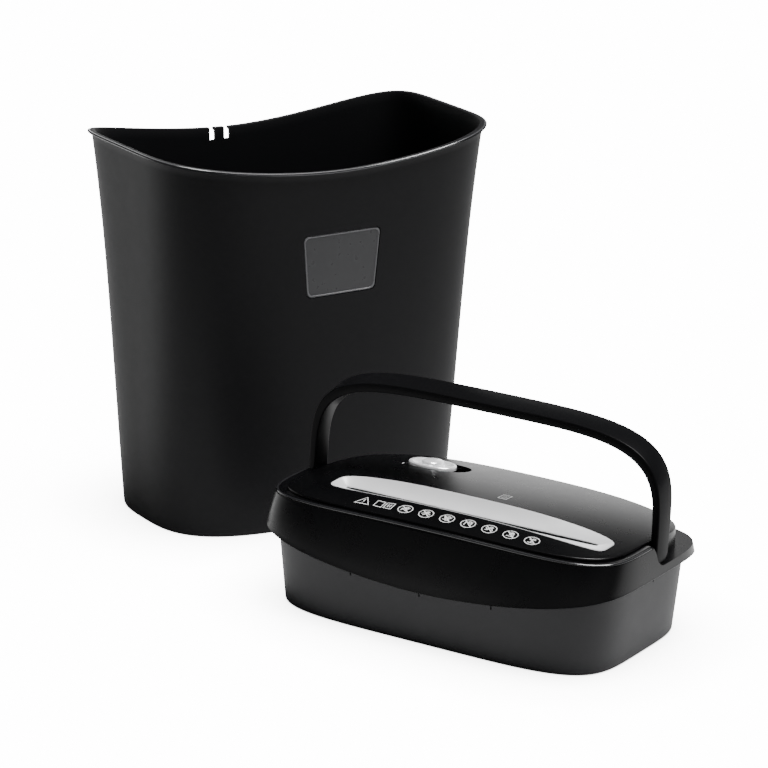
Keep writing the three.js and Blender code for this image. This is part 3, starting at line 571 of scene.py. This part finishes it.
# ---------------------------------------------------------------- throat, switch and handle
def bezel_ring(r, sink=0.0):
    """Outline in the dish, r 0 at the slot and 1 at its rim, which follows the deck."""
    points = []
    for ux, uy in outline(BEZEL["n"], OVAL_SEG):
        a = THROAT["half"] + (BEZEL["a"] - THROAT["half"]) * r
        b = THROAT["width"] / 2 + (BEZEL["b"] - THROAT["width"] / 2) * r
        x, y = THROAT["x"] + a * ux, THROAT["y"] + b * uy
        rim = deck_top(x, y) + BEZEL["rim"]
        bowl = THROAT["slot_z"] + (rim - THROAT["slot_z"]) * r ** BEZEL["bowl_power"]
        points.append(Vector((x, y, bowl - sink)))
    return points


def make_bezel():
    def build(bm):
        top = [bezel_ring(1.0, 0.5), bezel_ring(0.985, 0.1), bezel_ring(0.955, 0.0)]
        top += [bezel_ring(1 - 0.05 * k) for k in range(2, 20)]
        top += [bezel_ring(0.02), bezel_ring(0.0, 0.4)]
        under = [bezel_ring(r, BEZEL["sheet"]) for r in (0.0, 0.5, 1.0)]
        add_loft(bm, top + under, looped=True)
    return make_object("throat_bezel_dish", build, HEAD_PLACE)


def make_slot_shade_liner():
    """Black lip that lines the slot, just below the dish's inner edge; it is painted shade, which
    makes the slot read dark.
    """
    def build(bm):
        def oval(inset, drop):
            a, b = THROAT["half"] - inset, THROAT["width"] / 2 - inset
            return [Vector((THROAT["x"] + a * x, THROAT["y"] + b * y, THROAT["slot_z"] - drop))
                    for x, y in outline(BEZEL["n"], OVAL_SEG)]

        add_loft(bm, [oval(inset, drop) for inset, drop in SLOT_SHADE_LINER], looped=True)
        bmesh.ops.recalc_face_normals(bm, faces=bm.faces)
    return make_object("slot_painted_shade", build, HEAD_PLACE)


def make_knob():
    def build(bm):
        shape = outline(SWITCH["n"], KNOB_SEG)
        rings = []
        for along, across, z in KNOB:
            a, b = SWITCH["a"] - along, SWITCH["b"] - across
            rings.append([Vector((a * ux, b * uy, z)) for ux, uy in shape])
        add_loft(bm, rings)
    return make_object("switch_knob_cap", build, HEAD_PLACE @ SWITCH_PLACE)


def handle_section(half, thick, flare, edge, steps=4):
    """Rounded section across the handle and through it, thicker by flare at its rear."""
    points = []
    corners = [(-half, 0, 180), (half, 0, 270), (half, thick + flare, 0), (-half, thick, 90)]
    for across, through, start in corners:
        cx = across - math.copysign(edge, across)
        cy = edge if through == 0 else through - edge
        for i in range(steps + 1):
            turn = math.radians(start + 90 * i / steps)
            points.append((cx + edge * math.cos(turn), cy + edge * math.sin(turn)))
    return points


def make_handle():
    """One arch from foot to foot, swept upright and then leant back about its pivots."""
    a, h, n, rise = HANDLE["a"], HANDLE["h"], HANDLE["n"], HANDLE["rise"]
    foot = HANDLE["leg_width"] / 2

    def build(bm):
        rings = []

        def station(x_out, z_out, x_in, z_in, half, flare, edge):
            thick = math.hypot(x_out - x_in, z_out - z_in)
            dx, dz = (x_out - x_in) / thick, (z_out - z_in) / thick
            rings.append([Vector((HANDLE["x"] + x_in + dx * t, w, z_in + dz * t))
                          for w, t in handle_section(half, thick, flare, edge)])

        def leg(side, fall):
            half = max(math.sqrt(max(foot ** 2 - fall ** 2, 0)), 1.4)
            edge = min(HANDLE["edge"], half * 0.6)
            station(side * a, -fall, side * (a - HANDLE["leg_thick"]), -fall, half, 0, edge)

        falls = [foot * math.sin(math.radians(k)) for k in (89, 80, 70, 60, 50, 40, 30, 20, 10)]
        for fall in falls:
            leg(1, fall)
        spans = 120
        for i in range(spans + 1):
            t = math.pi * i / spans
            ux, uz = super_point(t + BUNCH * math.sin(4 * t) / 4, n)
            half = (HANDLE["leg_width"] + (HANDLE["top_width"] - HANDLE["leg_width"]) * uz) / 2
            inner_a, inner_h = a - HANDLE["leg_thick"], h - HANDLE["top_thick"]
            station(a * ux, rise + h * uz, inner_a * ux, rise + inner_h * uz, half,
                    HANDLE["flare"] * uz ** 2, HANDLE["edge"])
        for fall in reversed(falls):
            leg(-1, fall)
        add_loft(bm, rings)
        bmesh.ops.recalc_face_normals(bm, faces=bm.faces)

    pivot = Matrix.Translation((0, HANDLE["pivot_y"], HANDLE["pivot_z"]))
    tilt = pivot @ Matrix.Rotation(-HANDLE["lean"], 4, "X")
    return make_object("carry_handle_grip", build, HEAD_PLACE @ tilt, sharp=40)


# ---------------------------------------------------------------- printed marks on the deck
def add_stroke(bm, points, width, centre, closed=False):
    """Raised ribbon of even width along points, mitred at its corners, a hair above the deck.

    It is cut into short steps, because a long straight one would sink into the domed deck.
    """
    corners = [Vector((x, y * MARKS["squash"])) for x, y in points]
    path = []
    for i, here in enumerate(corners if closed else corners[:-1]):
        there = corners[(i + 1) % len(corners)]
        steps = max(round((there - here).length / MARKS["step"]), 1)
        path += [here.lerp(there, k / steps) for k in range(steps)]
    if not closed:
        path.append(corners[-1])
    count = len(path)
    top, low = MARKS["lift"], -MARKS["sunk"]
    rows = []
    for i, here in enumerate(path):
        before = (here - path[i - 1]).normalized() if i or closed else None
        after = (path[(i + 1) % count] - here).normalized() if i < count - 1 or closed else None
        ways = [way for way in (before, after) if way]
        normals = [Vector((-way.y, way.x)) for way in ways]
        mitre = sum(normals, Vector((0, 0))).normalized()
        across = mitre * width / 2 / max(mitre.dot(normals[0]), 0.3)
        row = []
        for side, lift in ((across, top), (-across, top), (-across, low), (across, low)):
            x, y = centre[0] + here.x + side.x, centre[1] + here.y + side.y
            row.append(bm.verts.new((x, y, deck_top(x, y) + lift)))
        rows.append(row)
    for i in range(count if closed else count - 1):
        here, there = rows[i], rows[(i + 1) % count]
        for k in range(4):
            m = (k + 1) % 4
            bm.faces.new((here[k], here[m], there[m], there[k]))
    if not closed:
        bm.faces.new(list(reversed(rows[0])))
        bm.faces.new(rows[-1])


def circle(r, count=36, x=0.0, y=0.0):
    turns = [2 * math.pi * i / count for i in range(count)]
    return [(x + r * math.cos(turn), y + r * math.sin(turn)) for turn in turns]


def mark_warning(bm, at):
    add_stroke(bm, [(-6.2, -5.0), (6.2, -5.0), (0, 5.6)], INK["outline"], at, closed=True)
    add_stroke(bm, [(0, 2.2), (0, -1.6)], INK["bar"], at)
    add_stroke(bm, [(0, -2.7), (0, -3.6)], INK["bar"], at)


def mark_booklet(bm, at):
    left = [(-8, -4.6), (-1, -5), (-1, 3.4), (-8, 4.2)]
    right = [(1, -5), (7.6, -4.6), (7.6, 4.2), (1, 3.4)]
    for page in (left, right):
        add_stroke(bm, page, INK["outline"], at, closed=True)
    add_stroke(bm, [(3.4, -2.6), (3.4, 1.6)], INK["bar"], at)
    add_stroke(bm, [(5.4, -2.4), (5.4, 1.8)], INK["bar"], at)


def mark_ring(bm, at, figure):
    """Ring with a slash across it and a figure inside."""
    r = MARKS["ring"]
    add_stroke(bm, circle(r), INK["outline"], at, closed=True)
    slash = r * 0.71
    add_stroke(bm, [(-slash, slash), (slash, -slash)], INK["bar"], at)
    for line in figure:
        add_stroke(bm, line, INK["figure"], at)
    add_stroke(bm, circle(1.1, 12, 0.6, 2.4), INK["dot"], at, closed=True)


def mark_sheet(bm, at):
    corners = [(-3.6, -5.5), (3.6, -5.5), (3.6, 5.5), (-3.6, 5.5)]
    add_stroke(bm, corners, INK["sheet"], at, closed=True)
    for y in (-3, 0, 3):
        add_stroke(bm, [(-2, y), (2, y)], INK["rule"], at)


def make_marks():
    """The row of marks before the throat, the sheet behind it and the line beside the knob."""
    def build(bm):
        first, pitch, row_y = MARKS["first"], MARKS["pitch"], MARKS["y"]
        mark_warning(bm, (first, row_y))
        mark_booklet(bm, (first + pitch, row_y))
        for k, figure in enumerate(FIGURES):
            mark_ring(bm, (first + (k + 2) * pitch, row_y), figure)
        mark_sheet(bm, SHEET_MARK)
        add_stroke(bm, SWITCH_MARK, INK["switch"], (0, 0))
        bmesh.ops.recalc_face_normals(bm, faces=bm.faces)
    return make_object("deck_marks", build, HEAD_PLACE)


# ---------------------------------------------------------------- materials
def new_material(name):
    """A material with its node tree, its shader and the place on the object to map by."""
    material = bpy.data.materials.new(name)
    material.use_nodes = True
    nodes, links = material.node_tree.nodes, material.node_tree.links
    shader = nodes["Principled BSDF"]
    place = nodes.new("ShaderNodeTexCoord").outputs["Object"]
    return material, nodes, links, shader, place


def noise(nodes, links, place, size, detail=3.0, roughness=0.5):
    """Noise whose cells are about size millimetres."""
    node = nodes.new("ShaderNodeTexNoise")
    node.inputs["Scale"].default_value = 1 / (size * MM)
    node.inputs["Detail"].default_value = detail
    node.inputs["Roughness"].default_value = roughness
    links.new(place, node.inputs["Vector"])
    return node.outputs["Fac"]


def fade(nodes, links, value, start, end, low=0.0, high=1.0):
    """The value carried from start..end to low..high, and held beyond either end."""
    node = nodes.new("ShaderNodeMapRange")
    node.inputs["From Min"].default_value = start
    node.inputs["From Max"].default_value = end
    node.inputs["To Min"].default_value = low
    node.inputs["To Max"].default_value = high
    links.new(value, node.inputs["Value"])
    return node.outputs["Result"]


def spread(nodes, links, value, low, high):
    """A noise, which seldom leaves 0.3 to 0.7, carried to low..high."""
    return fade(nodes, links, value, 0.3, 0.7, low, high)


def tint(nodes, links, value, low, high):
    """Colour between low and high."""
    node = nodes.new("ShaderNodeMix")
    node.data_type = "RGBA"
    node.inputs[6].default_value = (*low, 1)
    node.inputs[7].default_value = (*high, 1)
    links.new(value, node.inputs[0])
    return node.outputs[2]


def shade(color, share):
    """The colour, darker or lighter by a factor."""
    return tuple(c * share for c in color)


def bump(nodes, links, height, depth, shader):
    """Relief whose deepest pits are about depth millimetres."""
    node = nodes.new("ShaderNodeBump")
    node.inputs["Strength"].default_value = 1.0
    node.inputs["Distance"].default_value = depth * MM
    links.new(height, node.inputs["Height"])
    links.new(node.outputs["Normal"], shader.inputs["Normal"])


def moulded(name, color, rough, grain, depth, vary=0.12, specular=0.5):
    """Moulded plastic: fine spark-eroded grain, slow colour drift and rubbed patches."""
    material, nodes, links, shader, place = new_material(name)
    slow = noise(nodes, links, place, 60, 4)
    low, high = shade(color, 1 - vary), shade(color, 1 + vary)
    links.new(tint(nodes, links, slow, low, high), shader.inputs["Base Color"])
    patches = noise(nodes, links, place, 14, 5, 0.6)
    rubbed = spread(nodes, links, patches, rough - 0.012, rough + 0.012)
    links.new(rubbed, shader.inputs["Roughness"])
    shader.inputs["Specular IOR Level"].default_value = specular
    bump(nodes, links, noise(nodes, links, place, grain, 2), depth, shader)
    return material


def silvered(name, color, rough, metallic):
    """Silver lacquer with a fine metallic fleck."""
    material, nodes, links, shader, place = new_material(name)
    fleck = noise(nodes, links, place, 0.5, 3, 0.7)
    links.new(tint(nodes, links, fleck, shade(color, 0.86), color), shader.inputs["Base Color"])
    cloud = noise(nodes, links, place, 9, 4)
    links.new(spread(nodes, links, cloud, rough - 0.015, rough + 0.015), shader.inputs["Roughness"])
    shader.inputs["Metallic"].default_value = metallic
    bump(nodes, links, fleck, 0.02, shader)
    return material


def metal(name, color, rough, streak=0.6):
    """Drawn or turned metal with fine streaks."""
    material, nodes, links, shader, place = new_material(name)
    mapping = nodes.new("ShaderNodeMapping")
    mapping.inputs["Scale"].default_value = (1, 1, 0.08)
    links.new(place, mapping.inputs["Vector"])
    lines = noise(nodes, links, mapping.outputs["Vector"], streak, 4, 0.7)
    links.new(tint(nodes, links, lines, shade(color, 0.8), color), shader.inputs["Base Color"])
    links.new(spread(nodes, links, lines, rough - 0.06, rough + 0.08), shader.inputs["Roughness"])
    shader.inputs["Metallic"].default_value = 1.0
    bump(nodes, links, lines, 0.01, shader)
    return material


def printed(name, color):
    """Even ink or lacquer with a little wear."""
    material, nodes, links, shader, place = new_material(name)
    wear = noise(nodes, links, place, 1.2, 4, 0.7)
    links.new(tint(nodes, links, wear, shade(color, 0.8), color), shader.inputs["Base Color"])
    shader.inputs["Roughness"].default_value = 0.5
    return material


def smoked(name, color):
    """Dark glossy pane."""
    material, nodes, links, shader, place = new_material(name)
    cloud = noise(nodes, links, place, 25, 4)
    links.new(tint(nodes, links, cloud, shade(color, 0.85), color), shader.inputs["Base Color"])
    wiped = spread(nodes, links, noise(nodes, links, place, 6, 4), 0.27, 0.3)
    links.new(wiped, shader.inputs["Roughness"])
    shader.inputs["Specular IOR Level"].default_value = 0.25
    return material


def record_color(slot):
    """Colour that the CAD record gives a slot."""
    for entry in frame["record"]["materials"]:
        if entry["slot"] == slot:
            return tuple(entry["base_color"][:3])
    raise KeyError(slot)


def make_materials():
    """Materials by slot, with a few more for the fine pieces."""
    made = {}

    def plastic(name, color, rough, grain, depth, **rest):
        made[name] = moulded(name, color, rough, grain, depth, **rest)

    def silver(name, rough, metallic):
        made[name] = silvered(name, (0.97, 0.97, 0.98), rough, metallic)

    plastic("bin_plastic", (0.003, 0.003, 0.0036), rough=0.56, grain=0.7, depth=0.03,
            specular=0.13)
    made["window_plastic"] = smoked("window_plastic", (0.026, 0.026, 0.028))
    plastic("casing_plastic", (0.007, 0.007, 0.0083), rough=0.5, grain=0.6, depth=0.03,
            specular=0.26)
    plastic("cover_plastic", (0.0008, 0.0008, 0.0010), rough=0.28, grain=0.5, depth=0.006,
            specular=0.17)
    plastic("handle_plastic", (0.003, 0.003, 0.0033), rough=0.3, grain=0.6, depth=0.01,
            specular=0.04)
    silver("silver_trim", rough=0.3, metallic=0.65)
    silver("bright_silver", rough=0.22, metallic=0.6)
    plastic("window_border", (0.065, 0.065, 0.07), rough=0.35, grain=0.8, depth=0.005)
    # painted highlight: lighter than the cover's black, so the ring's edge shows as a bright line
    plastic("glossy_ring_painted_highlight", (0.01, 0.01, 0.011), rough=0.16, grain=0.8, depth=0.002, specular=0.4)
    # painted highlight: far paler than the bin's plastic, so the lip's bead shows as a bright line
    plastic("glossy_lip_painted_highlight", (0.05, 0.05, 0.053), rough=0.13, grain=0.8, depth=0.002)
    made["board_green"] = printed("board_green", record_color("board_green"))
    made["deck_print"] = printed("deck_print", (0.5, 0.5, 0.5))
    inner = {"black_plastic": 0.5, "gear_plastic": 0.45, "capacitor_film": 0.3, "rubber_black": 0.65}
    for slot, rough in inner.items():
        plastic(slot, record_color(slot), rough, grain=0.8, depth=0.02)
    for slot, rough in {"steel": 0.35, "cutter_steel": 0.3, "bronze": 0.4}.items():
        made[slot] = metal(slot, record_color(slot), rough)
    return made


def give(obj, material):
    """Makes it the object's only material."""
    obj.data.materials.clear()
    obj.data.materials.append(material)


def fit_piece(obj, body, slot, material, *nodes):
    """Hangs a fine piece on its body, and takes away the CAD nodes that it stands for."""
    give(obj, material)
    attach(obj, body)
    if nodes:
        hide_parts(*nodes)


def dress_model(materials):
    """Gives each CAD node its slot's material, then puts the fine pieces over the visible ones."""
    for part in frame["record"]["subparts"]:
        give(frame["nodes"][part["node"]], materials[part["material_slot"]])
    fit_piece(make_bin(), "bin", "bin_plastic", materials["bin_plastic"], "waste_bin")
    fit_piece(make_pane(), "bin", "window_plastic", materials["window_plastic"], "bin_window")
    fit_piece(make_pane_border(), "bin", "window_plastic", materials["window_border"])
    fit_piece(make_rim_bead(), "bin", "bin_plastic", materials["glossy_lip_painted_highlight"])
    fit_piece(make_casing(), "head", "casing_plastic", materials["casing_plastic"], "lower_casing")
    fit_piece(make_cover(), "head", "cover_plastic", materials["cover_plastic"], "top_cover")
    fit_piece(make_ring_bead(), "head", "cover_plastic", materials["glossy_ring_painted_highlight"])
    fit_piece(make_bezel(), "head", "silver_trim", materials["silver_trim"], "throat_bezel")
    # painted shade in the throat slot: a black lip just below the dish's edge
    fit_piece(make_slot_shade_liner(), "head", "black_plastic", materials["black_plastic"])
    fit_piece(make_knob(), "power_switch", "silver_trim", materials["bright_silver"], "switch_knob")
    fit_piece(make_handle(), "handle", "handle_plastic", materials["handle_plastic"], "carry_handle")
    fit_piece(make_marks(), "head", "cover_plastic", materials["deck_print"])


# ---------------------------------------------------------------- stage
CAMERA = dict(yaw=0.56982, pitch=0.30583, roll=-0.01683, lens=163.6, sensor=36, reach=50)
CAMERA_AT = Vector((-1.44348, -2.40487, 0.98246))
CAMERA_WAY = Vector((math.sin(CAMERA["yaw"]), math.cos(CAMERA["yaw"]), 0))
WHITE = (1, 1, 1, 1)
# emission that the camera sees as white, on the floor and a little more of it on the sky behind
STAGE_GLOW, SKY_EXTRA = 13.0, 2.3
# the world that the object mirrors: a low bright band behind it, a weak one before it, and the rest
BACKDROP, FRONT_FILL, DIM = 2.15, 0.7, 0.02
FLOOR = dict(size=12.0, lit_from=2.19, blur=0.02, dark=0.01, pale=0.66, rough=0.6, contact=0.08)
SUN = dict(energy=11.0, spread=35, lean=(8, 11))


def make_camera():
    """Camera from which the photo was taken, turned by its heading, dip and roll."""
    yaw, pitch, roll = CAMERA["yaw"], CAMERA["pitch"], CAMERA["roll"]
    level = math.cos(pitch)
    ahead = Vector((level * math.sin(yaw), level * math.cos(yaw), -math.sin(pitch)))
    flat = Vector((math.cos(yaw), -math.sin(yaw), 0))
    down = ahead.cross(flat)
    right = math.cos(roll) * flat + math.sin(roll) * down
    down = math.cos(roll) * down - math.sin(roll) * flat
    data = bpy.data.cameras.new("camera")
    data.sensor_width = CAMERA["sensor"]
    data.lens = CAMERA["lens"]
    data.clip_end = CAMERA["reach"]
    camera = bpy.data.objects.new("camera", data)
    turn = Matrix((right, -down, -ahead)).transposed().to_4x4()
    camera.matrix_world = Matrix.Translation(CAMERA_AT) @ turn
    bpy.context.scene.collection.objects.link(camera)
    bpy.context.scene.camera = camera


def camera_rays(nodes):
    """1 where the picture shows the stage itself, 0 where the object is lit by it or mirrors it."""
    return nodes.new("ShaderNodeLightPath").outputs["Is Camera Ray"]


def feed(links, value, socket):
    """Sets a socket to a number, or links another node's output to it."""
    if isinstance(value, (int, float)):
        socket.default_value = value
    else:
        links.new(value, socket)


def mix_values(nodes, links, fac, low, high):
    """Number between low and high."""
    node = nodes.new("ShaderNodeMix")
    node.data_type = "FLOAT"
    for value, k in ((fac, 0), (low, 2), (high, 3)):
        feed(links, value, node.inputs[k])
    return node.outputs[0]


def combine_values(nodes, links, operation, first, second):
    """Sum, product or larger of two numbers."""
    node = nodes.new("ShaderNodeMath")
    node.operation = operation
    feed(links, first, node.inputs[0])
    feed(links, second, node.inputs[1])
    return node.outputs["Value"]


def along_view(nodes, links, place):
    """How far a place or a direction lies along the photo camera's level heading."""
    node = nodes.new("ShaderNodeVectorMath")
    node.operation = "DOT_PRODUCT"
    node.inputs[1].default_value = CAMERA_WAY
    links.new(place, node.inputs[0])
    return node.outputs["Value"]


def make_floor():
    """White to the camera; to the object pale where it stands and dark nearer to the camera.

    Its glow dims close to the object, which leaves a soft shadow where the object touches it.
    """
    size = FLOOR["size"]
    mesh = bpy.data.meshes.new("floor")
    corners = [(-size, -size, 0), (size, -size, 0), (size, size, 0), (-size, size, 0)]
    mesh.from_pydata(corners, [], [(0, 1, 2, 3)])
    floor = bpy.data.objects.new("floor", mesh)
    bpy.context.scene.collection.objects.link(floor)
    material, nodes, links, shader, place = new_material("floor")
    start = CAMERA_AT.dot(CAMERA_WAY) + FLOOR["lit_from"]
    reach, blur = along_view(nodes, links, place), FLOOR["blur"]
    lit = fade(nodes, links, reach, start - blur, start + blur)
    shown = camera_rays(nodes)
    either = combine_values(nodes, links, "MAXIMUM", lit, shown)
    dark, pale = (FLOOR["dark"],) * 3, (FLOOR["pale"],) * 3
    links.new(tint(nodes, links, either, dark, pale), shader.inputs["Base Color"])
    shader.inputs["Roughness"].default_value = FLOOR["rough"]
    shader.inputs["Emission Color"].default_value = WHITE
    closed_in = nodes.new("ShaderNodeAmbientOcclusion")
    closed_in.inputs["Distance"].default_value = FLOOR["contact"]
    glow = mix_values(nodes, links, shown, 0.0, STAGE_GLOW)
    open_glow = combine_values(nodes, links, "MULTIPLY", glow, closed_in.outputs["AO"])
    links.new(open_glow, shader.inputs["Emission Strength"])
    give(floor, material)


def make_sun():
    """A soft overhead light."""
    data = bpy.data.lights.new("overhead", "SUN")
    data.energy = SUN["energy"]
    data.angle = math.radians(SUN["spread"])
    lamp = bpy.data.objects.new("overhead", data)
    lean_x, lean_y = SUN["lean"]
    lamp.rotation_euler = (math.radians(lean_x), math.radians(lean_y), 0)
    bpy.context.scene.collection.objects.link(lamp)


def make_world():
    """White to the camera; to the object dim, with its bands low down behind and before it."""
    world = bpy.data.worlds.new("studio")
    world.use_nodes = True
    nodes, links = world.node_tree.nodes, world.node_tree.links
    way = nodes.new("ShaderNodeTexCoord").outputs["Generated"]
    split = nodes.new("ShaderNodeSeparateXYZ")
    links.new(way, split.inputs["Vector"])
    low_down = fade(nodes, links, split.outputs["Z"], 0.16, 0.42, 1.0, 0.0)
    toward = along_view(nodes, links, way)
    behind = fade(nodes, links, toward, 0.2, 0.95, 0.0, BACKDROP)
    before = fade(nodes, links, toward, -0.2, -0.95, 0.0, FRONT_FILL)
    either = combine_values(nodes, links, "ADD", behind, before)
    band = combine_values(nodes, links, "MULTIPLY", low_down, either)
    mirrored = combine_values(nodes, links, "ADD", band, DIM)
    seen = mix_values(nodes, links, camera_rays(nodes), mirrored, STAGE_GLOW + SKY_EXTRA)
    background = nodes["Background"]
    links.new(seen, background.inputs["Strength"])
    background.inputs["Color"].default_value = WHITE
    bpy.context.scene.world = world


make_camera()
make_floor()
make_sun()
make_world()
dress_model(make_materials())
